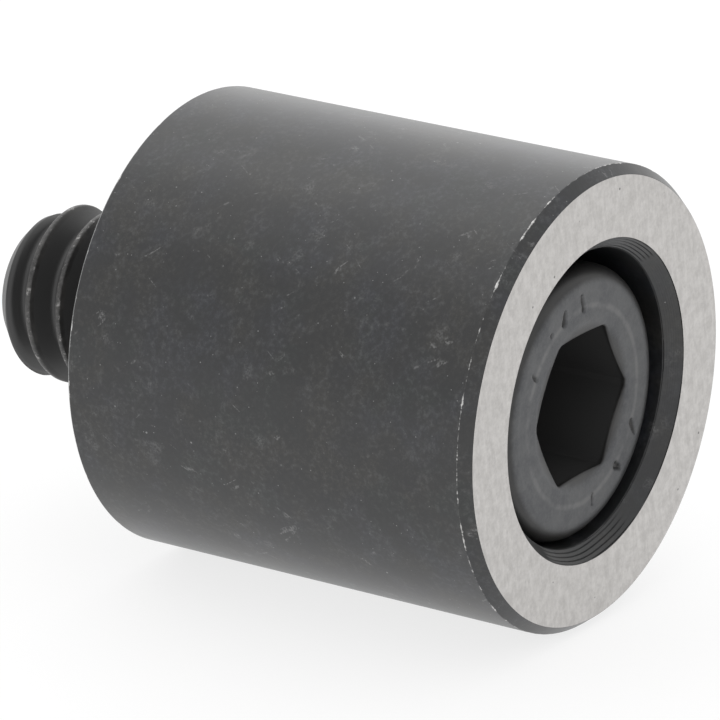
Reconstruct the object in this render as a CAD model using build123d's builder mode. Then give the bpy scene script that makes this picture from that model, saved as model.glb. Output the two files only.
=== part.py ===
from build123d import *

import os
from math import cos, radians, tan

# A screw-mounted rest pad: a round steel pad, counterbored from its ground working face,
# and the socket head cap screw that stands loose in it and fastens it to a fixture.
#
# Millimetres. The pad lies on its side: the origin is the centre of its flat seat, +Y runs
# along the screw towards the thread's tip, the working face looks towards -Y, +Z is up.

# ---- pad ----
pad_diameter = 15.875
pad_length = 15.875
face_bevel_depth = 0.40  # bevel round the working face, measured along the axis
face_bevel_width = 0.31  # the same bevel, measured across the face
seat_edge_break = 0.08  # small break round the seat's outer edge
counterbore_mouth_bevel_depth = 0.57
counterbore_mouth_bevel_width = 0.45
hole_edge_break = 0.30  # on both ends of the screw's hole, clear of the screw's neck

# ---- cap screw, 1/4-20 UNC ----
shank_diameter = 6.32  # of the plain stretch under the head
thread_diameter = 6.17  # over the crests
thread_pitch = 1.27
thread_angle = 60.0
thread_depth = 0.61343 * thread_pitch  # of an external thread of this form
thread_crest = thread_pitch / 8
ridge_sunk = 0.1  # how far the thread's ridge is sunk into its core
screw_length = 15.875  # under the head
plain_shank_length = 1.79  # unthreaded stretch under the head
neck_fillet = 0.20
head_diameter = 9.45
head_height = 6.35
head_rim_radius = 0.70
socket_across_flats = 4.92
socket_depth = 3.05
socket_point_angle = 118.0  # drilled point under the broached hexagon
socket_mouth_radius = 2.92  # of the cone that leads into the hexagon
socket_mouth_slope = 14.0
point_diameter = 4.50  # of the flat on the screw's tip

# ---- fits between the two ----
hole_clearance = 0.294  # radial, round the plain shank: a 0.272 inch hole
head_clearance = 0.355  # radial, round the head: a 0.4 inch counterbore
head_recess = 0.57  # how far the head's top stands below the working face
shank_gap_below = 0.024  # left under the shank where the loose screw has dropped in its hole

same_size = 1e-6  # radii that differ by less than this are one radius

# ---- what follows from them ----
pad_radius = pad_diameter / 2
shank_radius = shank_diameter / 2
thread_radius = thread_diameter / 2
root_radius = thread_radius - thread_depth
head_radius = head_diameter / 2
hole_radius = shank_radius + hole_clearance
counterbore_radius = head_radius + head_clearance
counterbore_depth = head_recess + head_height
working_face_y = -pad_length
screw_drop = hole_clearance - shank_gap_below
head_top_y = working_face_y + head_recess
head_seat_y = head_top_y + head_height
screw_tip_y = head_seat_y + screw_length
socket_corner_radius = socket_across_flats / 2 / cos(radians(30))
socket_mouth_depth = socket_mouth_radius * tan(radians(socket_mouth_slope))  # at the axis
socket_point_depth = socket_across_flats / 2 / tan(radians(socket_point_angle / 2))
point_radius = point_diameter / 2
point_bevel = shank_radius - point_radius  # at 45 degrees, from the tip's flat out past the crests
thread_start_y = head_seat_y + plain_shank_length
threaded_length = screw_tip_y - thread_start_y
ridge_foot = thread_crest + 2 * (thread_depth + ridge_sunk) * tan(radians(thread_angle / 2))
screw_axis = Axis((0, 0, -screw_drop), (0, 1, 0))


def facing_back(y, z=0.0):
    """A plane at y that looks along -Y, out of the working face, with its own X along the row's X."""
    return Plane(origin=(0, y, z), x_dir=(1, 0, 0), z_dir=(0, -1, 0))


# ---- pad body: a turned round, counterbored and drilled through ----
with BuildPart() as pad_body:
    with BuildSketch(facing_back(0)):
        Circle(pad_radius)
    extrude(amount=pad_length)
    working_face = pad_body.faces().sort_by(Axis.Y)[0]
    chamfer(working_face.edges(), face_bevel_depth, face_bevel_width, reference=working_face)
    seat_face = pad_body.faces().sort_by(Axis.Y)[-1]
    chamfer(seat_face.edges(), seat_edge_break)
    with Locations(facing_back(working_face_y)):
        CounterBoreHole(
            radius=hole_radius,
            counter_bore_radius=counterbore_radius,
            counter_bore_depth=counterbore_depth,
        )
    mouth_edge = pad_body.faces().sort_by(Axis.Y)[0].edges().sort_by(SortBy.RADIUS)[0]
    hole_edges = pad_body.edges().filter_by(GeomType.CIRCLE).filter_by(
        lambda edge: abs(edge.radius - hole_radius) < same_size
    )
    chamfer(hole_edges, hole_edge_break)
    chamfer(mouth_edge, counterbore_mouth_bevel_depth, counterbore_mouth_bevel_width)
pad_body.part.label = "pad_body"

# ---- the screw's thread: a right-handed ridge wound on a core, both made long and then cut to length ----
with BuildPart() as thread:
    with BuildSketch(facing_back(screw_tip_y + 2 * thread_pitch, -screw_drop)):
        Circle(root_radius)
    extrude(amount=threaded_length + 4 * thread_pitch)
    with BuildLine() as winding:
        Helix(
            pitch=thread_pitch,
            height=threaded_length + 2 * thread_pitch,
            radius=root_radius,
            center=(0, thread_start_y - thread_pitch, -screw_drop),
            direction=(0, 1, 0),
        )
    winding_start = winding.line @ 0
    outwards = (winding_start - Vector(0, winding_start.Y, -screw_drop)).normalized()
    around = Vector(0, 1, 0).cross(outwards)
    with BuildSketch(Plane(origin=winding_start, x_dir=outwards, z_dir=around)):
        with BuildLine():
            Polyline(
                (-ridge_sunk, -ridge_foot / 2),
                (thread_depth, -thread_crest / 2),
                (thread_depth, thread_crest / 2),
                (-ridge_sunk, ridge_foot / 2),
                close=True,
            )
        make_face()
    sweep(path=winding.line, is_frenet=True)
    with BuildSketch(Plane.XY.offset(-screw_drop)):
        with BuildLine():
            Polyline(
                (0, thread_start_y),
                (shank_radius, thread_start_y),
                (shank_radius, screw_tip_y - point_bevel),
                (point_radius, screw_tip_y),
                (0, screw_tip_y),
                close=True,
            )
        make_face()
    revolve(axis=screw_axis, mode=Mode.INTERSECT)

# ---- cap screw ----
with BuildPart() as cap_screw:
    with BuildSketch(facing_back(head_seat_y, -screw_drop)):
        Circle(head_radius)
    extrude(amount=head_height)
    fillet(cap_screw.faces().sort_by(Axis.Y)[0].edges(), head_rim_radius)
    with BuildSketch(facing_back(thread_start_y, -screw_drop)):
        Circle(shank_radius)
    extrude(amount=plain_shank_length)
    neck_edges = cap_screw.edges().filter_by(GeomType.CIRCLE).filter_by(
        lambda edge: abs(edge.radius - shank_radius) < same_size
    )
    fillet(neck_edges.sort_by(Axis.Y)[0], neck_fillet)
    add(thread.part)

    # hexagon socket, corners level, with the cone at its mouth and the drilled point under it
    with BuildSketch(facing_back(head_top_y, -screw_drop)):
        RegularPolygon(socket_corner_radius, 6)
    extrude(amount=-socket_depth, mode=Mode.SUBTRACT)
    with BuildSketch(Plane.XY.offset(-screw_drop)):
        with BuildLine():
            Polyline(
                (0, head_top_y),
                (socket_mouth_radius, head_top_y),
                (0, head_top_y + socket_mouth_depth),
                close=True,
            )
        make_face()
        with BuildLine():
            Polyline(
                (0, head_top_y + socket_depth),
                (socket_across_flats / 2, head_top_y + socket_depth),
                (0, head_top_y + socket_depth + socket_point_depth),
                close=True,
            )
        make_face()
    revolve(axis=screw_axis, mode=Mode.SUBTRACT)
cap_screw.part.label = "cap_screw"

os.makedirs("parts", exist_ok=True)
for piece in (pad_body, cap_screw):
    export_step(piece.part, f"parts/{piece.part.label}.step")
    print(piece.part.label, round(piece.part.volume, 1), "mm3", piece.part.bounding_box())
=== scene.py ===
"""A round steel rest pad with its loose socket head cap screw, lying on its side in a plain studio.

The fixed frame gives the sizes and places of both pieces. Each piece is turned here as one closed
skin with the edges, knurl, thread and tool marks that the frame leaves out. Lengths in the classes
are millimetres; meshes are written in metres.
"""

from __future__ import annotations

import logging
from collections.abc import Callable
from dataclasses import dataclass, field
from enum import IntEnum
from math import atan2, cos, pi, radians, sin, tan

import bmesh
import bpy
import numpy as np
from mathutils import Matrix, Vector


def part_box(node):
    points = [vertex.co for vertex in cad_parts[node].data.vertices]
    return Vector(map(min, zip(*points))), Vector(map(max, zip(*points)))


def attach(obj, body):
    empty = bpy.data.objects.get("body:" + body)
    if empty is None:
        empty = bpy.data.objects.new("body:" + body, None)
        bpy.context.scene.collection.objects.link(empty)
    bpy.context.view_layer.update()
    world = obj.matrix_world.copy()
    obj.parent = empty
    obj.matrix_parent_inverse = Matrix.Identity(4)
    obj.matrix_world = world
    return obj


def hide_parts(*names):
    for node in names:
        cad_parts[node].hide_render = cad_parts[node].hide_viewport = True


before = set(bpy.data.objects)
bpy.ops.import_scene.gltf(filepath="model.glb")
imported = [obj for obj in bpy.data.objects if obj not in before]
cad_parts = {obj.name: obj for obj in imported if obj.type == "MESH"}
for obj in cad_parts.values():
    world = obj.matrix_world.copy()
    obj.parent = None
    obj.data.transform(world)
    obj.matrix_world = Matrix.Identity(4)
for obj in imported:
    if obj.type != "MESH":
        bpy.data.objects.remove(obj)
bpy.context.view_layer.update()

log = logging.getLogger("rest_pad")
MM = 0.001
TURN = 2 * pi
THREAD_DEPTH = 0.61343  # of an external thread, as a share of its pitch
OXIDE_IOR = 1.62
MIX_FIRST, MIX_SECOND, MIX_RESULT = 6, 7, 2  # a Mix node's colour sockets
Colour = tuple[float, float, float, float]
Point = tuple[float, float]


def box_mm(node: str) -> tuple[Vector, Vector]:
    """Gives a frame node's lowest and highest corners in millimetres.

    Args:
        node: The node's name.

    Returns:
        The lowest corner and the highest corner.
    """
    low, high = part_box(node)
    return low / MM, high / MM


# ---------------------------------------------------------------------------
# Shader maths
# ---------------------------------------------------------------------------


class Value:
    """A node's output that Python's operators do maths on, adding Math nodes as they go."""

    def __init__(self, graph: Graph, socket: bpy.types.NodeSocket) -> None:
        """Wraps one output socket of a graph."""
        self.graph = graph
        self.socket = socket

    def math(self, operation: str, *inputs: Value | float) -> Value:
        """Adds one Math node.

        Args:
            operation: The Math node's operation.
            *inputs: Its inputs, in order.

        Returns:
            The node's output.
        """
        return self.graph.node("ShaderNodeMath", {"operation": operation}, dict(enumerate(inputs)))

    def __add__(self, other: Value | float) -> Value:
        """Adds."""
        return self.math("ADD", self, other)

    def __radd__(self, other: float) -> Value:
        """Adds, from the right."""
        return self.math("ADD", other, self)

    def __sub__(self, other: Value | float) -> Value:
        """Subtracts."""
        return self.math("SUBTRACT", self, other)

    def __rsub__(self, other: float) -> Value:
        """Subtracts from a number."""
        return self.math("SUBTRACT", other, self)

    def __mul__(self, other: Value | float) -> Value:
        """Multiplies."""
        return self.math("MULTIPLY", self, other)

    def __truediv__(self, other: Value | float) -> Value:
        """Divides."""
        return self.math("DIVIDE", self, other)

    def __abs__(self) -> Value:
        """Drops the sign."""
        return self.math("ABSOLUTE", self)

    def step(self, low: float, high: float) -> Value:
        """Rises smoothly from 0 where this value is low to 1 where it is high.

        Args:
            low: The value that gives 0.
            high: The value that gives 1, which may be below low for a falling step.

        Returns:
            The step.
        """
        rising = high > low
        ends = {1: min(low, high), 2: max(low, high), 3: 0.0 if rising else 1.0, 4: 1.0 if rising else 0.0}
        return self.graph.node("ShaderNodeMapRange", {"interpolation_type": "SMOOTHSTEP"}, {0: self, **ends})

    def most(self, other: Value | float) -> Value:
        """Takes the larger of two values."""
        return self.math("MAXIMUM", self, other)


class Graph:
    """One material's node tree, with the few building steps that the finishes share."""

    def __init__(self, name: str) -> None:
        """Starts an empty material with this name."""
        self.material = bpy.data.materials.new(name)
        self.material.use_nodes = True
        self.tree = self.material.node_tree
        self.tree.nodes.clear()

    def node(
        self,
        kind: str,
        settings: dict[str, object] | None = None,
        inputs: dict[int | str, object] | None = None,
        output: int | str = 0,
    ) -> Value:
        """Adds a node: first its settings, then its inputs.

        Args:
            kind: The node's type.
            settings: Its properties by name.
            inputs: Values or wrapped outputs, by the input's number or name.
            output: The output to give back.

        Returns:
            The wrapped output.
        """
        made = self.tree.nodes.new(kind)
        for name, setting in (settings or {}).items():
            setattr(made, name, setting)
        for key, given in (inputs or {}).items():
            if isinstance(given, Value):
                self.tree.links.new(given.socket, made.inputs[key])
            else:
                made.inputs[key].default_value = given
        return Value(self, made.outputs[output])

    def place(self) -> Value:
        """Gives the place on the piece, in millimetres, riding with the piece."""
        metres = self.node("ShaderNodeTexCoord", output="Object")
        return self.vector("MULTIPLY", metres, (1 / MM, 1 / MM, 1 / MM))

    def vector(self, operation: str, *inputs: object) -> Value:
        """Adds a Vector Math node.

        Args:
            operation: Its operation.
            *inputs: Vectors, wrapped or plain.

        Returns:
            The resulting vector.
        """
        return self.node("ShaderNodeVectorMath", {"operation": operation}, dict(enumerate(inputs)))

    def split(self, vector: Value) -> tuple[Value, Value, Value]:
        """Splits a vector into its three parts."""
        parts = self.node("ShaderNodeSeparateXYZ", inputs={0: vector}).socket.node.outputs
        return tuple(Value(self, parts[i]) for i in range(3))

    def join(self, x: Value | float, y: Value | float, z: Value | float = 0.0) -> Value:
        """Makes a vector of three parts."""
        return self.node("ShaderNodeCombineXYZ", inputs={0: x, 1: y, 2: z})

    def noise(self, vector: Value, scale: float, detail: float = 3.0, rough: float = 0.55) -> Value:
        """Adds a noise texture.

        Args:
            vector: Where to read it.
            scale: Features per unit of the vector.
            detail: Octaves.
            rough: How much the fine octaves count.

        Returns:
            A value round one half.
        """
        sockets = {"Vector": vector, "Scale": scale, "Detail": detail, "Roughness": rough}
        return self.node("ShaderNodeTexNoise", {"noise_dimensions": "3D"}, sockets)

    def cells(self, vector: Value, scale: float) -> tuple[Value, Value]:
        """Scatters cells over a flat sheet.

        Args:
            vector: Where on the sheet.
            scale: Cells per unit.

        Returns:
            The distance from the nearest cell's heart, in cells, and that cell's own random number.
        """
        settings = {"voronoi_dimensions": "2D", "feature": "F1"}
        distance = self.node("ShaderNodeTexVoronoi", settings, {"Vector": vector, "Scale": scale}, "Distance")
        own = self.split(Value(self, distance.socket.node.outputs["Color"]))[0]
        return distance, own

    def blend(self, share: Value | float, first: object, second: object) -> Value:
        """Mixes two colours.

        Args:
            share: The second colour's share.
            first: A colour, wrapped or plain.
            second: Another.

        Returns:
            The mixed colour.
        """
        inputs = {0: share, MIX_FIRST: first, MIX_SECOND: second}
        return self.node("ShaderNodeMix", {"data_type": "RGBA"}, inputs, MIX_RESULT)

    def bump(self, height: Value, depth_mm: float, strength: float = 1.0) -> Value:
        """Turns a height from 0 to 1 into a normal.

        Args:
            height: The height.
            depth_mm: What a height of 1 stands for.
            strength: How much of it shows.

        Returns:
            The normal.
        """
        sockets = {"Strength": strength, "Distance": depth_mm * MM, "Height": height}
        return self.node("ShaderNodeBump", None, sockets)

    def close(self, **sockets: object) -> bpy.types.Material:
        """Adds the surface shader and the output.

        Args:
            **sockets: The shader's inputs, with underscores for spaces.

        Returns:
            The finished material.
        """
        inputs = {name.replace("_", " "): given for name, given in sockets.items()}
        shader = self.node("ShaderNodeBsdfPrincipled", None, inputs)
        self.node_output(shader)
        return self.material

    def node_output(self, shader: Value) -> None:
        """Joins a shader to the material's output."""
        out = self.tree.nodes.new("ShaderNodeOutputMaterial")
        self.tree.links.new(shader.socket, out.inputs["Surface"])


# ---------------------------------------------------------------------------
# Finishes
# ---------------------------------------------------------------------------


def grey(level: float, warm: float = 0.0) -> Colour:
    """Makes a near-neutral colour.

    Args:
        level: Its brightness, linear.
        warm: How much redder than blue it is, as a share of the brightness; below 0 is bluer.

    Returns:
        The colour, opaque.
    """
    return (level * (1 + warm / 2), level, level * (1 - warm / 2), 1.0)


@dataclass(frozen=True)
class Specks:
    """Points rubbed bright: how many a millimetre, how wide, and how many of the cells hold one."""

    per_mm: float
    radius: float  # millimetres, of the largest
    share: float

    def mask(self, g: Graph, sheet: Value, ragged: Value) -> Value:
        """Marks the specks.

        Args:
            g: The graph.
            sheet: The place on the unrolled surface, in millimetres.
            ragged: A noise that frays their outlines.

        Returns:
            From 0 to 1, brighter on the larger specks.
        """
        moved = g.vector("ADD", sheet, (self.per_mm * 3.7, self.per_mm * 5.1, 0.0))
        distance, own = g.cells(moved, self.per_mm)
        size = own.step(self.share, 0.0)
        reach = size * (self.radius * self.per_mm)
        frayed = distance / self.per_mm + (ragged - 0.5) * (self.radius * 0.9)
        return (frayed * self.per_mm / reach.most(0.0001)).step(1.0, 0.45) * (size * 0.7 + 0.3)


@dataclass(frozen=True)
class Scratches:
    """Short thin scratches: where a stretched noise crosses its middle, in a few small patches."""

    per_mm: float
    width: float  # of the noise's own range
    turn: float
    shift: float
    least: float  # of the noise that lets a scratch show; higher leaves fewer
    stretch: float = 0.16  # the noise's density along a scratch, as a share of that across it
    patches_per_mm: float = 0.85

    def mask(self, g: Graph, sheet: Value, ragged: Value) -> Value:
        """Marks the scratches.

        Args:
            g: The graph.
            sheet: The place on the unrolled surface, in millimetres.
            ragged: A noise that breaks them up.

        Returns:
            From 0 to 1.
        """
        turned = g.node(
            "ShaderNodeVectorRotate",
            {"rotation_type": "Z_AXIS"},
            {"Vector": sheet, "Angle": self.turn},
        )
        shift = (self.shift, self.shift, self.shift)
        stretched = g.vector("MULTIPLY_ADD", turned, (self.stretch, 1.0, 1.0), shift)
        line = abs(g.noise(stretched, self.per_mm, 2.0, 0.6) - 0.5).step(self.width, self.width * 0.25)
        patches = g.noise(g.vector("ADD", sheet, shift), self.patches_per_mm, 2.0)
        shown = patches.step(self.least, self.least + 0.06)
        return line * shown * ragged.step(0.40, 0.60)


@dataclass(frozen=True)
class BlackOxide:
    """Black oxide on a turned steel round: dark, softly mottled in tint, specked and rubbed."""

    name: str
    radius: float  # of the round, for measuring along its surface
    worn_edges: tuple[tuple[float, float], ...] = ()  # an edge's place along the axis, and its wear
    dark: Colour = (0.0075, 0.0080, 0.0090, 1.0)
    blue: Colour = (0.0165, 0.0180, 0.0235, 1.0)
    green: Colour = (0.0125, 0.0160, 0.0150, 1.0)
    brown: Colour = (0.0180, 0.0170, 0.0145, 1.0)
    haze: Colour = grey(0.062, -0.06)
    rubbed: Colour = grey(0.30, 0.01)
    bare: Colour = grey(0.66, 0.03)
    roughness: float = 0.25
    grain_per_mm: float = 5.5
    fine_per_mm: float = 13.0
    specks: tuple[Specks, ...] = (
        Specks(0.5, 0.050, 0.40),
        Specks(1.4, 0.034, 0.26),
        Specks(3.4, 0.026, 0.18),
    )
    specks_shown: float = 0.75
    scratches: tuple[Scratches, ...] = (
        Scratches(1.1, 0.022, 0.9, 3.1, 0.635),
        Scratches(1.3, 0.022, 2.2, 17.3, 0.645),
    )
    scratches_shown: float = 0.42
    smudges_shown: float = 0.20
    flat: bool = False  # the marks are laid out across a flat face, not round the axis

    def material(self) -> bpy.types.Material:
        """Builds the finish.

        Returns:
            The material.
        """
        g = Graph(self.name)
        place = g.place()
        x, along, z = g.split(place)
        around = x.math("ARCTAN2", x, z) * self.radius
        out = x.math("SQRT", x * x + z * z) if self.flat else along
        sheet = g.join(x, z) if self.flat else g.join(around, along)

        grain = g.noise(place, self.grain_per_mm, 5.0, 0.72)
        fine = g.noise(place, self.fine_per_mm, 3.0, 0.6)
        lines = g.noise(g.join(out * 9.0, around * 0.30), 1.0, 4.0, 0.75)
        colour = self.mottled(g, place, grain)
        marks = self.marks(g, sheet, fine)
        colour = g.blend(marks * 0.9, colour, self.rubbed)
        worn = self.worn(g, sheet, along, fine)
        colour = g.blend(worn, colour, self.bare)
        rough = self.roughness + grain * 0.10 + lines * 0.04
        relief = grain * 0.45 + fine * 0.25 + lines * 0.35 - marks * 0.5
        return g.close(
            Base_Color=colour,
            Metallic=worn,
            Roughness=rough,
            IOR=OXIDE_IOR,
            Normal=g.bump(relief, 0.004, 0.6),
        )

    def mottled(self, g: Graph, place: Value, grain: Value) -> Value:
        """Mixes the oxide's tints in soft patches, with a fine grain over them.

        Args:
            g: The graph.
            place: The place on the piece.
            grain: The fine grain.

        Returns:
            The colour.
        """
        slow = g.noise(place, 0.33, 3.0, 0.6)
        other = g.noise(g.vector("ADD", place, (31.0, 7.0, 13.0)), 0.42, 3.0, 0.6)
        patch = g.noise(g.vector("ADD", place, (5.0, 41.0, 3.0)), 0.9, 3.0, 0.55)
        colour = g.blend(slow.step(0.36, 0.60), self.blue, self.brown)
        colour = g.blend(other.step(0.52, 0.66) * 0.85, colour, self.green)
        colour = g.blend(patch.step(0.60, 0.40) * 0.65, colour, self.dark)
        colour = g.blend(grain.step(0.56, 0.34) * 0.80, colour, self.dark)
        hazy = grain.step(0.48, 0.70) * (patch.step(0.32, 0.62) * 0.55 + 0.12)
        return g.blend(hazy, colour, self.haze)

    def marks(self, g: Graph, sheet: Value, fine: Value) -> Value:
        """Marks the specks, scratches and smudges.

        Args:
            g: The graph.
            sheet: The place on the unrolled surface.
            fine: A fine noise that frays them.

        Returns:
            From 0 to 1.
        """
        crowd = g.noise(sheet, 0.35, 2.0).step(0.34, 0.58) * 0.8 + 0.2
        smudged = g.noise(sheet, 0.8, 4.0, 0.65).step(0.58, 0.72) * fine.step(0.38, 0.60)
        found = smudged * self.smudges_shown
        for mark in self.specks:
            found = found.most(mark.mask(g, sheet, fine) * crowd * self.specks_shown)
        for mark in self.scratches:
            found = found.most(mark.mask(g, sheet, fine) * self.scratches_shown)
        return found

    def worn(self, g: Graph, sheet: Value, along: Value, fine: Value) -> Value | float:
        """Marks where the edges are rubbed through to bare steel.

        Args:
            g: The graph.
            sheet: The place on the unrolled surface.
            along: The place along the axis.
            fine: A fine noise that frays the wear.

        Returns:
            From 0 to 1, on bare steel.
        """
        amount = g.noise(sheet, 0.9, 5.0, 0.75)
        total: Value | float = 0.0
        for edge, width in self.worn_edges:
            reach = amount.step(0.44, 0.74) * width + (fine - 0.5) * (width * 0.8)
            near = (reach - abs(along - edge)).step(-0.008, 0.016)
            near = near * (amount.step(0.40, 0.64) * 0.85 + 0.10)
            total = near if isinstance(total, float) else total.most(near)
        return total


@dataclass(frozen=True)
class GroundSteel:
    """Bare steel ground flat: bright and matt, with faint straight strokes and a few pits."""

    name: str
    light: Colour = grey(0.61, 0.050)
    shade: Colour = grey(0.45, 0.060)
    pit: Colour = grey(0.10)
    roughness: float = 0.40
    stroke_turn: float = 0.20  # of the grinding strokes from upright
    strokes_per_mm: tuple[float, float, float] = (5.5, 1.0, 0.9)
    clouds_per_mm: float = 2.4
    grain_per_mm: float = 9.0
    small_pits: Specks = Specks(0.75, 0.06, 0.25)
    large_pits: Specks = Specks(0.33, 0.11, 0.16)

    def material(self) -> bpy.types.Material:
        """Builds the finish.

        Returns:
            The material.
        """
        g = Graph(self.name)
        place = g.place()
        turned = g.node(
            "ShaderNodeVectorRotate",
            {"rotation_type": "Y_AXIS"},
            {"Vector": place, "Angle": self.stroke_turn},
        )
        strokes = g.noise(g.vector("MULTIPLY", turned, self.strokes_per_mm), 1.0, 5.0, 0.75)
        cloud = g.noise(place, self.clouds_per_mm, 4.0, 0.6)
        grain = g.noise(place, self.grain_per_mm, 4.0, 0.7)
        x, _, z = g.split(place)
        pits = self.small_pits.mask(g, g.join(x, z), grain)
        pits = pits.most(self.large_pits.mask(g, g.join(z, x), grain))
        tone = strokes.step(0.32, 0.68) * 0.40 + cloud.step(0.34, 0.66) * 0.45
        tone = tone + grain.step(0.30, 0.70) * 0.35
        colour = g.blend(tone - 0.1, self.shade, self.light)
        colour = g.blend(pits * 0.75, colour, self.pit)
        return g.close(
            Base_Color=colour,
            Metallic=1.0,
            Roughness=self.roughness + strokes * 0.10 + grain * 0.10,
            Normal=g.bump(strokes * 0.5 + grain * 0.5 - pits, 0.004, 0.5),
        )


@dataclass(frozen=True)
class ScrewOxide:
    """Satin black oxide on a forged head and a rolled thread, rubbed bright on the crests."""

    name: str
    axis_height: float
    crest_radius: float
    thread_from: float  # place along the axis where the thread starts
    head_top: float
    mouth_radius: float  # of the cone round the hexagon
    ring_radius: float  # of a faint paler ring round the socket
    thread_dark: Colour = grey(0.0095, 0.08)
    thread_light: Colour = grey(0.0340, 0.12)
    head_dark: Colour = (0.084, 0.086, 0.091, 1.0)
    head_light: Colour = (0.110, 0.112, 0.115, 1.0)
    pale: Colour = grey(0.205, 0.02)
    # Painted shade: one flat grey standing in for the shade and bounced light inside the socket's hollow.
    socket_painted_shade: Colour = grey(0.030)
    bare: Colour = grey(0.42, 0.04)
    roughness: float = 0.33
    clouds_per_mm: float = 1.2
    grain_per_mm: float = 8.0
    wear_per_mm: float = 3.0
    ring_width: float = 0.16

    def material(self) -> bpy.types.Material:
        """Builds the finish.

        Returns:
            The material.
        """
        g = Graph(self.name)
        place = g.place()
        x, along, height = g.split(place)
        z = height - self.axis_height
        radius = x.math("SQRT", x * x + z * z)
        cloud = g.noise(place, self.clouds_per_mm, 4.0, 0.6)
        grain = g.noise(place, self.grain_per_mm, 5.0, 0.72)
        depth = along - self.head_top
        face = depth.step(0.13, 0.01)
        socket = radius.step(self.mouth_radius + 0.04, self.mouth_radius - 0.02) * depth.step(0.16, 0.28)
        thread = g.blend(cloud.step(0.35, 0.68), self.thread_dark, self.thread_light)
        head = g.blend(cloud.step(0.32, 0.66), self.head_dark, self.head_light)
        colour = g.blend(face, thread, head)
        colour = g.blend(grain.step(0.36, 0.74) * (face * 0.20 + 0.04), colour, self.pale)
        ring = abs(radius - self.ring_radius).step(self.ring_width, 0.02) * face * cloud.step(0.30, 0.60)
        colour = g.blend(ring * 0.40, colour, self.pale)
        # Painted shade: the head's rounded rim, from just below the top face to about 1 mm down, is darkened
        # towards the thread's dark tone for the shade that the counterbore's wall casts round the head.
        rim = depth.step(0.01, 0.14) * depth.step(1.3, 0.7)
        colour = g.blend(rim * 0.85, colour, self.thread_dark)
        # Painted shade: the socket's walls and floor below its mouth take one flat grey for the light inside
        # the hollow.
        colour = g.blend(socket, colour, self.socket_painted_shade)
        crest = radius.step(self.crest_radius - 0.055, self.crest_radius - 0.012)
        crest = crest * along.step(self.thread_from, self.thread_from + 0.1)
        flecks = g.noise(place, self.wear_per_mm, 4.0, 0.75).step(0.55, 0.66)
        worn = crest * (flecks * 0.6 + grain.step(0.40, 0.70) * 0.14)
        colour = g.blend(worn, colour, self.bare)
        return g.close(
            Base_Color=colour,
            Metallic=worn.most(face * (1 - socket)),
            Roughness=self.roughness + cloud * 0.06 + grain * 0.12,
            IOR=OXIDE_IOR,
            Normal=g.bump(grain * 0.6 + cloud * 0.4, 0.006, 0.6),
        )


# ---------------------------------------------------------------------------
# Turned skins
# ---------------------------------------------------------------------------


def ease(low: float | np.ndarray, high: float | np.ndarray, at: np.ndarray) -> np.ndarray:
    """Rises smoothly from 0 at low to 1 at high.

    Args:
        low: Where it starts.
        high: Where it ends, which may be below low for a falling ease.
        at: Where to read it.

    Returns:
        The eased values.
    """
    share = np.clip((at - low) / (high - low), 0.0, 1.0)
    return share * share * (3 - 2 * share)


@dataclass(frozen=True)
class Corner:
    """A corner of a turned profile: its distance from the axis, its place along it, its rounding."""

    radius: float
    along: float
    rounding: float = 0.0
    finish: int = 0  # of the stretch that starts here
    parts: int = 1  # how finely that stretch is divided


@dataclass
class Profile:
    """A turned piece's outline, sampled into stations with a finish for each stretch."""

    corners: list[Corner]
    closed: bool = False
    arc_parts: int = 4
    guard: float = 0.03  # stretch kept flat beside each rounding
    radii: list[float] = field(default_factory=list)
    places: list[float] = field(default_factory=list)
    finishes: list[int] = field(default_factory=list)
    stretches: list[tuple[int, float]] = field(default_factory=list)

    def __post_init__(self) -> None:
        """Samples every corner and stretch."""
        count = len(self.corners)
        rounded = [self.round_corner(i) for i in range(count)]
        for i, points in enumerate(rounded):
            corner = self.corners[i]
            for point in points:
                self.add(point, corner.finish, i, 0.0)
            if i == count - 1 and not self.closed:
                continue
            start, end = Vector(points[-1]), Vector(rounded[(i + 1) % count][0])
            self.divide(start, end, corner, i)
        if self.closed:
            self.add((self.radii[0], self.places[0]), self.finishes[0], 0, 0.0)

    def add(self, point: Point, finish: int, corner: int, share: float) -> None:
        """Adds one station.

        Args:
            point: Distance from the axis and place along it.
            finish: The finish of the strip that follows.
            corner: The corner whose stretch it is on.
            share: How far along that stretch it is.
        """
        self.radii.append(point[0])
        self.places.append(point[1])
        self.finishes.append(finish)
        self.stretches.append((corner, share))

    def divide(self, start: Vector, end: Vector, corner: Corner, number: int) -> None:
        """Adds the stations between two corners.

        Args:
            start: Where the stretch starts.
            end: Where it ends.
            corner: The corner that it leaves.
            number: That corner's number.
        """
        length = (end - start).length
        guard = min(self.guard / length, 0.2)
        shares = [guard, *(k / corner.parts for k in range(1, corner.parts)), 1 - guard]
        for share in shares:
            point = start.lerp(end, share)
            self.add((point.x, point.y), corner.finish, number, share)

    def round_corner(self, number: int) -> list[Point]:
        """Rounds one corner into an arc.

        Args:
            number: The corner's number.

        Returns:
            The arc's points, or the corner itself where nothing is rounded.
        """
        corner = self.corners[number]
        here = Vector((corner.radius, corner.along))
        at_end = not self.closed and number in (0, len(self.corners) - 1)
        if corner.rounding <= 0 or at_end:
            return [(here.x, here.y)]
        before = self.corners[number - 1]
        after = self.corners[(number + 1) % len(self.corners)]
        back = (Vector((before.radius, before.along)) - here).normalized()
        on = (Vector((after.radius, after.along)) - here).normalized()
        half = back.angle(on) / 2
        reach = corner.rounding / tan(half)
        centre = here + (back + on).normalized() * (corner.rounding / sin(half))
        first = here + back * reach - centre
        last = here + on * reach - centre
        sweep = first.angle(last)
        points = []
        for k in range(self.arc_parts + 1):
            share = k / self.arc_parts
            arm = (first * sin((1 - share) * sweep) + last * sin(share * sweep)) / sin(sweep)
            points.append(tuple(centre + arm))
        return points


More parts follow.
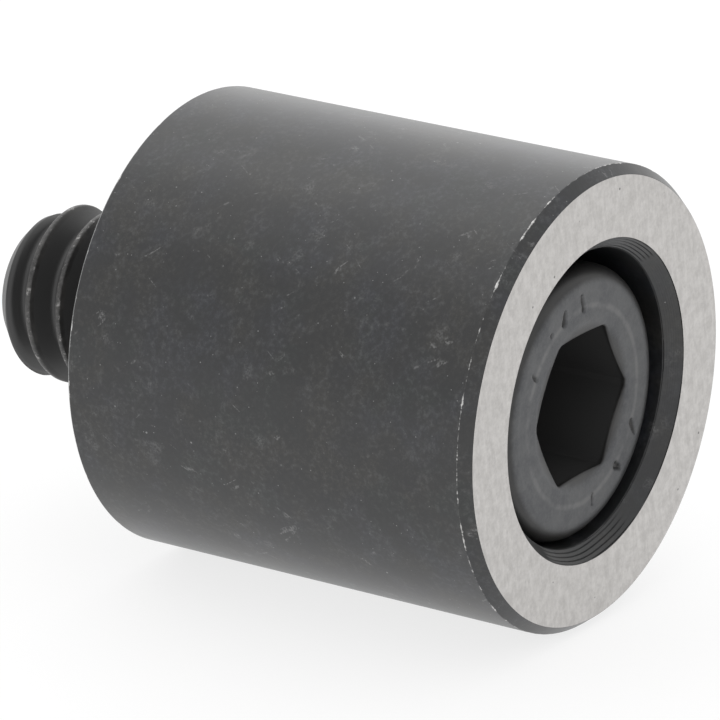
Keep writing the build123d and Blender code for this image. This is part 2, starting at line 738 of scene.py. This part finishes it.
@dataclass
class Skin:
    """A closed skin woven from columns of points, one column for each angle round an axis."""

    name: str
    axis_height: float = 0.0
    weld: float = 1e-8  # metres; points nearer than this are one point
    least_face: float = 1e-16  # square metres; smaller faces are dropped
    parts: list[tuple[np.ndarray, np.ndarray, np.ndarray, list[int]]] = field(default_factory=list)

    def weave(self, angles: np.ndarray, radii: np.ndarray, places: np.ndarray, finishes: list[int]) -> None:
        """Adds a sheet of columns.

        Args:
            angles: Angle of each point, clockwise from straight up as seen from the front.
            radii: Distance of each point from the axis, by column and station.
            places: Place of each point along the axis, by column and station.
            finishes: The finish of each strip between two stations.
        """
        self.parts.append((angles, radii, places, finishes))

    def build(self, materials: list[bpy.types.Material]) -> bpy.types.Object:
        """Welds the sheets into one mesh object.

        Args:
            materials: The finishes' materials, in order.

        Returns:
            The object, linked into the scene.
        """
        mesh = bpy.data.meshes.new(self.name)
        work = bmesh.new()
        for angles, radii, places, finishes in self.parts:
            self.add_sheet(work, angles, radii, places, finishes)
        bmesh.ops.remove_doubles(work, verts=work.verts, dist=self.weld)
        thin = [face for face in work.faces if face.calc_area() < self.least_face]
        bmesh.ops.delete(work, geom=thin, context="FACES_ONLY")
        bmesh.ops.recalc_face_normals(work, faces=work.faces)
        for face in work.faces:
            face.smooth = True
        work.to_mesh(mesh)
        work.free()
        for material in materials:
            mesh.materials.append(material)
        made = bpy.data.objects.new(self.name, mesh)
        bpy.context.scene.collection.objects.link(made)
        return made

    def add_sheet(
        self,
        work: bmesh.types.BMesh,
        angles: np.ndarray,
        radii: np.ndarray,
        places: np.ndarray,
        finishes: list[int],
    ) -> None:
        """Adds one sheet's points and faces.

        Args:
            work: The mesh in the making.
            angles: Angle of each point.
            radii: Distance of each point from the axis.
            places: Place of each point along the axis.
            finishes: The finish of each strip.
        """
        x = radii * np.sin(angles)
        z = radii * np.cos(angles) + self.axis_height
        points = np.stack([x, places, z], axis=-1) * MM
        columns, stations = radii.shape
        verts = [[work.verts.new(point) for point in column] for column in points]
        for i in range(columns - 1):
            here, there = verts[i], verts[i + 1]
            for j in range(stations - 1):
                face = work.faces.new((here[j], here[j + 1], there[j + 1], there[j]))
                face.material_index = finishes[j]


# ---------------------------------------------------------------------------
# The pad
# ---------------------------------------------------------------------------


class PadFinish(IntEnum):
    """The pad's finishes, in the order of its material slots."""

    OXIDE = 0
    GROUND = 1
    BORE = 2
    SEAT = 3


@dataclass(frozen=True)
class Chatter:
    """Coarse rings that a chattering tool left over part of the mouth's bevel."""

    starts: float  # clock angle in degrees
    ends: float
    rings: float
    depth: float
    fade: float  # degrees over which it begins
    stop: float  # degrees over which it ends

    def height(self, clock: np.ndarray, share: np.ndarray) -> np.ndarray:
        """Gives the rings' height.

        Args:
            clock: Clock angle in degrees, from -180 to 180.
            share: How far across the bevel, from the bore to the face.

        Returns:
            Height out of the bevel, in millimetres.
        """
        middle = (self.starts + self.ends) / 2
        off = (clock - middle + 180) % 360 - 180
        half = (self.ends - self.starts) / 2
        present = ease(-half, -half + self.fade, off) * ease(half, half - self.stop, off)
        wobble = 0.12 * np.sin(np.radians(clock) * 5.0) + 0.06 * np.sin(np.radians(clock) * 13.0)
        saw = (share * self.rings + wobble) % 1.0
        wave = np.where(saw < 0.7, saw / 0.7, (1 - saw) / 0.3)
        return self.depth * present * wave * np.sin(np.clip(share, 0, 1) * pi) ** 0.4


@dataclass
class Pad:
    """The turned round: ground working face, bevels, stepped hole and black seat."""

    face_bevel_depth: float = 0.40
    face_bevel_width: float = 0.31
    seat_edge_break: float = 0.08
    mouth_bevel_depth: float = 0.57
    mouth_bevel_width: float = 0.45
    counterbore_radius: float = 5.08
    counterbore_depth: float = 6.92
    hole_radius: float = 3.454
    hole_edge_break: float = 0.30
    front_wear: float = 0.060  # how wide the bevel's edge is rubbed bright
    back_wear: float = 0.040
    columns: int = 360
    mouth_parts: int = 30
    chatter: tuple[Chatter, ...] = (
        Chatter(starts=-62, ends=42, rings=5.0, depth=0.052, fade=26, stop=2.0),
        Chatter(starts=152, ends=214, rings=4.0, depth=0.040, fade=10, stop=8.0),
        Chatter(starts=42, ends=152, rings=9.0, depth=0.010, fade=8, stop=10.0),
    )

    def __post_init__(self) -> None:
        """Takes the overall sizes from the frame."""
        low, high = box_mm("pad_body")
        self.radius = (high.x - low.x) / 2
        self.face = low.y
        self.seat = high.y

    def profile(self) -> Profile:
        """Lays out the outline, from the mouth's edge round the outside and back through the hole.

        Returns:
            The closed outline.
        """
        oxide, ground, bore, seat = PadFinish.OXIDE, PadFinish.GROUND, PadFinish.BORE, PadFinish.SEAT
        mouth_radius = self.counterbore_radius + self.mouth_bevel_width
        floor = self.face + self.counterbore_depth
        edge = self.hole_edge_break
        bevel_foot = self.face + self.mouth_bevel_depth
        return Profile(
            closed=True,
            corners=[
                Corner(mouth_radius, self.face, 0.015, ground, 2),
                Corner(self.radius - self.face_bevel_width, self.face, 0.015, oxide, 2),
                Corner(self.radius, self.face + self.face_bevel_depth, 0.05, oxide, 12),
                Corner(self.radius, self.seat - self.seat_edge_break, 0.03, oxide, 1),
                Corner(self.radius - self.seat_edge_break, self.seat, 0.03, seat, 12),
                Corner(self.hole_radius + edge, self.seat, 0.02, bore, 1),
                Corner(self.hole_radius, self.seat - edge, 0.02, bore, 4),
                Corner(self.hole_radius, floor + edge, 0.02, bore, 1),
                Corner(self.hole_radius + edge, floor, 0.02, bore, 2),
                Corner(self.counterbore_radius, floor, 0.15, bore, 6),
                Corner(self.counterbore_radius, bevel_foot, 0.04, bore, self.mouth_parts),
            ],
        )

    def build(self) -> bpy.types.Object:
        """Turns the pad and dresses it.

        Returns:
            The pad's object.
        """
        profile = self.profile()
        turn = np.linspace(-pi, pi, self.columns + 1)
        angles, radii = np.meshgrid(turn, np.array(profile.radii), indexing="ij")
        places = np.broadcast_to(np.array(profile.places), radii.shape).copy()
        bevel = len(profile.corners) - 1
        on_bevel = np.array([corner == bevel and share > 0 for corner, share in profile.stretches])
        share = np.array([share for _, share in profile.stretches])
        height = sum(ring.height(np.degrees(angles), share[None, :]) for ring in self.chatter)
        height = height * on_bevel[None, :]
        slope = atan2(self.mouth_bevel_width, self.mouth_bevel_depth)
        radii = radii + height * cos(slope)
        places = places + height * sin(slope)
        skin = Skin("pad_body_turned")
        skin.weave(angles, radii, places, profile.finishes)
        return skin.build(self.materials())

    def materials(self) -> list[bpy.types.Material]:
        """Makes the pad's finishes.

        Returns:
            The materials, in the order of PadFinish.
        """
        front = (self.face + self.face_bevel_depth, self.front_wear)
        back = (self.seat - self.seat_edge_break, self.back_wear)
        return [
            BlackOxide("pad_black_oxide", self.radius, worn_edges=(front, back)).material(),
            GroundSteel("pad_ground_steel").material(),
            BlackOxide(
                "pad_bore_oxide",
                self.counterbore_radius,
                haze=grey(0.030, -0.06),
                roughness=0.34,
                specks=(Specks(1.1, 0.045, 0.16),),
                scratches=(),
            ).material(),
            BlackOxide("pad_seat_oxide", self.radius, flat=True).material(),
        ]


# ---------------------------------------------------------------------------
# The cap screw
# ---------------------------------------------------------------------------


@dataclass(frozen=True)
class Dent:
    """A shallow plain dent in the head's top: a point, or a stroke where it has a length."""

    clock: float  # degrees
    radius: float  # of its middle, from the axis
    length: float
    lean: float  # degrees from radial
    width: float
    depth: float

    def depth_at(self, x: np.ndarray, z: np.ndarray) -> np.ndarray:
        """Gives the dent's depth.

        Args:
            x: Place to the right of the axis.
            z: Place above the axis.

        Returns:
            Depth in millimetres, 0 outside the dent.
        """
        clock, heading = radians(self.clock), radians(self.clock + self.lean)
        middle_x, middle_z = self.radius * sin(clock), self.radius * cos(clock)
        along_x, along_z = sin(heading), cos(heading)
        along = (x - middle_x) * along_x + (z - middle_z) * along_z
        along = np.clip(along, -self.length / 2, self.length / 2)
        width = self.width * (0.75 - 0.5 * along / max(self.length, self.width))
        away = np.hypot(x - middle_x - along * along_x, z - middle_z - along * along_z)
        return self.depth * ease(width, width * 0.45, away)


@dataclass
class CapScrew:
    """The socket head cap screw: knurled head, hexagon socket, plain shank and rolled thread."""

    head_height: float = 6.35
    head_rim: float = 0.70
    head_foot_bevel: float = 0.20
    knurl_teeth: int = 60
    knurl_depth: float = 0.13
    knurl_share: float = 0.72  # of the head's side
    socket_flats: float = 4.92
    socket_depth: float = 3.05
    socket_point_slope: float = 0.60  # of the drilled point, depth over radius
    socket_corner_flat: float = 0.06  # taken off each of the hexagon's corners
    socket_edge: float = 0.04  # break on the hexagon's edge, and height of the strip at its foot
    mouth_radius: float = 2.92  # of the cone that leads into the hexagon
    mouth_slope: float = 14.0  # degrees
    ring_radius: float = 3.42
    neck_fillet: float = 0.20
    shank_radius: float = 3.16
    plain_shank: float = 1.79
    thread_radius: float = 3.085
    pitch: float = 1.27
    point_radius: float = 2.25
    head_columns: int = 480
    top_parts: int = 28
    edge_guard: float = 0.05  # stretch kept straight beside the shank's edges
    dents: tuple[Dent, ...] = (
        Dent(clock=-1, radius=3.62, length=0.52, lean=-14, width=0.12, depth=0.14),
        Dent(clock=-19, radius=3.60, length=0.34, lean=24, width=0.17, depth=0.16),
        Dent(clock=-33, radius=3.62, length=0.0, lean=0, width=0.12, depth=0.08),
        Dent(clock=-58, radius=3.55, length=0.30, lean=10, width=0.11, depth=0.09),
        Dent(clock=118, radius=3.66, length=0.46, lean=34, width=0.15, depth=0.13),
        Dent(clock=141, radius=3.66, length=0.34, lean=-22, width=0.17, depth=0.13),
        Dent(clock=169, radius=3.60, length=0.30, lean=16, width=0.10, depth=0.08),
    )

    def __post_init__(self) -> None:
        """Takes the overall sizes and the place from the frame."""
        low, high = box_mm("cap_screw")
        self.head_radius = (high.x - low.x) / 2
        self.axis_height = (high.z + low.z) / 2
        self.top = low.y
        self.tip = high.y
        self.seat = self.top + self.head_height
        self.thread_start = self.seat + self.plain_shank

    def hexagon(self, angles: np.ndarray) -> np.ndarray:
        """Gives the hexagon's distance from the axis, with its corners level.

        Args:
            angles: Angles from straight up.

        Returns:
            The distances in millimetres.
        """
        side = TURN / 6
        off = (angles + side / 2) % side - side / 2
        sharp = self.socket_flats / 2 / np.cos(off)
        limit = self.socket_flats / 2 / cos(side / 2) - self.socket_corner_flat
        return np.minimum(sharp, limit)

    def weave_head(self, skin: Skin) -> None:
        """Weaves the socket, the head's top, rim and side and its foot down to the shank.

        Args:
            skin: The skin to add to.
        """
        turn = np.linspace(-pi, pi, self.head_columns + 1)
        hexagon = self.hexagon(turn)
        flat_edge = self.head_radius - self.head_rim
        socket_floor = self.top + self.socket_depth
        drill = self.socket_flats / 2
        radii: list[np.ndarray] = []
        places: list[np.ndarray] = []

        def station(radius: np.ndarray | float, place: np.ndarray | float) -> None:
            """Adds a ring of points."""
            radii.append(np.broadcast_to(radius, turn.shape))
            places.append(np.broadcast_to(place, turn.shape))

        for share in (0.0, 0.5, 0.97, 1.0):
            station(drill * share, socket_floor + drill * (1 - share) * self.socket_point_slope)
        station(drill + (hexagon - drill) * 0.5, socket_floor)
        station(hexagon, socket_floor)
        strip_top = socket_floor - self.socket_edge
        station(hexagon, strip_top)
        mouth = hexagon + self.socket_edge
        cone = tan(radians(self.mouth_slope))
        lip = self.top + (self.mouth_radius - mouth) * cone + self.socket_edge
        for share in (0.35, 0.7, 0.97, 1.0):
            station(hexagon, strip_top + (lip - strip_top) * share)
        for share in (0.2, 0.5, 0.8):
            station(hexagon + self.socket_edge * share, lip - self.socket_edge * share)
        for share in np.linspace(0, 1, self.top_parts + 1):
            radius = mouth + (flat_edge - mouth) * share
            x, z = radius * np.sin(turn), radius * np.cos(turn)
            dent = sum(mark.depth_at(x, z) for mark in self.dents)
            sunk = np.maximum(self.mouth_radius - radius, 0.0) * cone
            station(radius, self.top + sunk + dent)
        for share in np.linspace(0, 1, 9)[1:]:
            swing = share * pi / 2
            down = self.head_rim * (1 - cos(swing))
            station(flat_edge + self.head_rim * sin(swing), self.top + down)
        self.weave_side(station, turn)
        finishes = [0] * len(radii)
        angles = np.broadcast_to(turn[:, None], (len(turn), len(radii))).copy()
        angles[1::2, -1] = angles[0:-1:2, -1]
        skin.weave(angles, np.stack(radii, 1), np.stack(places, 1), finishes)

    def weave_side(self, station: Callable, turn: np.ndarray) -> None:
        """Adds the knurled side and the foot.

        Args:
            station: The function that adds a ring of points.
            turn: The columns' angles.
        """
        knurl_from = self.top + self.head_rim
        knurl_to = self.top + self.head_height * self.knurl_share
        groove = (1 - np.cos(turn * self.knurl_teeth)) / 2
        for share in (0.02, 0.10, 0.35, 0.65, 0.90, 0.98):
            fade = float(ease(0.0, 0.1, np.array(share)) * ease(1.0, 0.92, np.array(share)))
            place = knurl_from + (knurl_to - knurl_from) * share
            station(self.head_radius - groove * self.knurl_depth * fade, place)
        bevel = self.head_foot_bevel
        station(self.head_radius, knurl_to + 0.1)
        station(self.head_radius, self.seat - bevel - 0.03)
        station(self.head_radius, self.seat - bevel)
        station(self.head_radius - bevel, self.seat)
        station(self.head_radius - bevel - 0.03, self.seat)
        neck = self.shank_radius + self.neck_fillet
        station(neck + 0.04, self.seat)
        for share in np.linspace(0, 1, 5):
            swing = share * pi / 2
            reach = self.neck_fillet * (1 - sin(swing))
            station(self.shank_radius + reach, self.seat + self.neck_fillet * (1 - cos(swing)))

    def thread_form(self) -> list[Point]:
        """Lays out one pitch of the thread, from crest to crest.

        Returns:
            Share of the pitch and distance from the axis for each line wound along the thread.
        """
        depth = THREAD_DEPTH * self.pitch
        flank = THREAD_DEPTH * tan(radians(30))
        crest = 1 / 16
        root = crest + flank
        shares = [0.0, crest * 0.55, crest * 0.9, crest + flank * 0.06]
        drops = [0.0, 0.0, 0.012, 0.06]
        for k in (0.3, 0.6, 0.85):
            shares.append(crest + flank * k)
            drops.append(k)
        shares += [root - flank * 0.03, root + (0.5 - root) * 0.45]
        drops += [0.955, 0.995]
        half = [(share, self.thread_radius - depth * drop) for share, drop in zip(shares, drops)]
        foot = [(0.5, self.thread_radius - depth)]
        return half + foot + [(1 - share, radius) for share, radius in half[:0:-1]]

    def weave_shank(self, skin: Skin) -> None:
        """Weaves the plain shank, the thread and the tip.

        Args:
            skin: The skin to add to.
        """
        turn = np.linspace(-pi, pi, self.head_columns // 2 + 1)
        form = self.thread_form()
        turns = int((self.tip - self.thread_start) / self.pitch) + 3
        shares = np.array([k + share for k in range(-1, turns) for share, _ in form])
        radii = np.array([radius for _ in range(-1, turns) for _, radius in form])
        wound = turn[:, None] / TURN
        places = self.thread_start + self.pitch * (shares[None, :] + wound)
        places = np.clip(places, self.thread_start, self.tip)
        radii = np.broadcast_to(radii, places.shape)
        root = self.thread_radius - THREAD_DEPTH * self.pitch
        run_out = root + (self.shank_radius - root) * ease(self.pitch * 1.1, 0.0, places - self.thread_start)
        bevel = self.point_radius + (self.tip - places)
        radii = np.minimum(np.maximum(radii, run_out), bevel)
        first_place = self.seat + self.neck_fillet
        guard = self.edge_guard
        lead = [(self.shank_radius, first_place), (self.shank_radius, first_place + guard)]
        lead += [(self.shank_radius, self.thread_start - guard)]
        tail = [(self.point_radius - guard, self.tip), (self.point_radius * 0.5, self.tip), (0.0, self.tip)]
        column = np.ones((len(turn), 1))
        all_radii = np.hstack([column * r for r, _ in lead] + [radii] + [column * r for r, _ in tail])
        all_places = np.hstack([column * y for _, y in lead] + [places] + [column * y for _, y in tail])
        angles = np.broadcast_to(turn[:, None], all_radii.shape)
        skin.weave(angles, all_radii, all_places, [0] * all_radii.shape[1])

    def build(self) -> bpy.types.Object:
        """Weaves the screw and dresses it.

        Returns:
            The screw's object.
        """
        skin = Skin("cap_screw_rolled", axis_height=self.axis_height)
        self.weave_head(skin)
        self.weave_shank(skin)
        finish = ScrewOxide(
            "screw_black_oxide",
            axis_height=self.axis_height,
            crest_radius=self.thread_radius,
            thread_from=self.thread_start,
            head_top=self.top,
            mouth_radius=self.mouth_radius,
            ring_radius=self.ring_radius,
        )
        return skin.build([finish.material()])


# ---------------------------------------------------------------------------
# The studio
# ---------------------------------------------------------------------------


@dataclass(frozen=True)
class SoftBox:
    """A large square lamp aimed at the pad."""

    name: str
    azimuth: float
    elevation: float
    distance: float  # metres
    size: float
    power: float

    def place(self, aim: Vector) -> None:
        """Hangs the lamp.

        Args:
            aim: The point that it faces, in metres.
        """
        lamp = bpy.data.lights.new(self.name, "AREA")
        lamp.shape = "SQUARE"
        lamp.size = self.size
        lamp.energy = self.power
        made = bpy.data.objects.new(self.name, lamp)
        made.location = aim + heading(self.azimuth, self.elevation) * self.distance
        made.rotation_euler = (made.location - aim).to_track_quat("Z", "Y").to_euler()
        bpy.context.scene.collection.objects.link(made)


def heading(azimuth: float, elevation: float) -> Vector:
    """Gives the direction from the pad to a place round it.

    Args:
        azimuth: Degrees round from the front, towards the right.
        elevation: Degrees above level.

    Returns:
        A vector of length 1.
    """
    turn, lift = radians(azimuth), radians(elevation)
    return Vector((sin(turn) * cos(lift), -cos(turn) * cos(lift), sin(lift)))


@dataclass
class Studio:
    """The floor, the lamps, the pale surroundings and the camera."""

    floor_size: float = 3.0
    floor_glow: float = 0.78
    surround: float = 0.88
    camera_azimuth: float = -56.29
    camera_elevation: float = 19.56
    camera_distance: float = 217.8 * MM
    camera_lens: float = 329.9
    camera_sensor: float = 36.0
    camera_clip: float = 0.01
    aim: tuple[float, float, float] = (-3.97 * MM, -9.10 * MM, 1.30 * MM)
    lamps_aim: tuple[float, float, float] = (0.0, -8.0 * MM, 0.0)
    boxes: tuple[SoftBox, ...] = (
        SoftBox("back_box", azimuth=132.0, elevation=33.0, distance=0.60, size=0.75, power=0.95),
        SoftBox("top_box", azimuth=-170.0, elevation=70.0, distance=0.70, size=0.60, power=0.45),
    )

    def build(self) -> None:
        """Sets up the whole studio."""
        self.add_floor()
        for box in self.boxes:
            box.place(Vector(self.lamps_aim))
        self.add_surround()
        self.add_camera()
        bpy.context.scene.view_settings.view_transform = "Standard"

    def add_floor(self) -> None:
        """Lays the plain pale floor under the pad."""
        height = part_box("pad_body")[0].z
        half = self.floor_size / 2
        corners = [(-half, -half), (half, -half), (half, half), (-half, half)]
        mesh = bpy.data.meshes.new("floor")
        mesh.from_pydata([(x, y, height) for x, y in corners], [], [(0, 1, 2, 3)])
        floor = bpy.data.objects.new("floor", mesh)
        bpy.context.scene.collection.objects.link(floor)
        pale = Graph("pale_floor")
        mesh.materials.append(
            pale.close(
                Base_Color=grey(0.22),
                Roughness=0.9,
                Emission_Color=grey(1.0),
                Emission_Strength=self.floor_glow,
            )
        )

    def add_surround(self) -> None:
        """Makes the surroundings an even pale grey."""
        world = bpy.data.worlds.new("surround")
        world.use_nodes = True
        inputs = world.node_tree.nodes["Background"].inputs
        inputs["Color"].default_value = grey(1.0)
        inputs["Strength"].default_value = self.surround
        bpy.context.scene.world = world

    def add_camera(self) -> None:
        """Sets up the camera, level, with a long lens."""
        lens = bpy.data.cameras.new("camera")
        lens.lens = self.camera_lens
        lens.sensor_width = self.camera_sensor
        lens.clip_start = self.camera_clip
        camera = bpy.data.objects.new("camera", lens)
        towards = heading(self.camera_azimuth, self.camera_elevation)
        camera.location = Vector(self.aim) + towards * self.camera_distance
        camera.rotation_euler = towards.to_track_quat("Z", "Y").to_euler()
        bpy.context.scene.collection.objects.link(camera)
        bpy.context.scene.camera = camera


def main() -> None:
    """Builds the studio, the pad and the screw, in that order."""
    logging.basicConfig(level=logging.INFO, format="%(name)s: %(message)s")
    Studio().build()
    log.info("studio set up")
    pad = Pad().build()
    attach(pad, "pad")
    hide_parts("pad_body")
    log.info("%s: %d faces", pad.name, len(pad.data.polygons))
    screw = CapScrew().build()
    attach(screw, "screw")
    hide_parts("cap_screw")
    log.info("%s: %d faces", screw.name, len(screw.data.polygons))


if __name__ == "__main__":
    main()
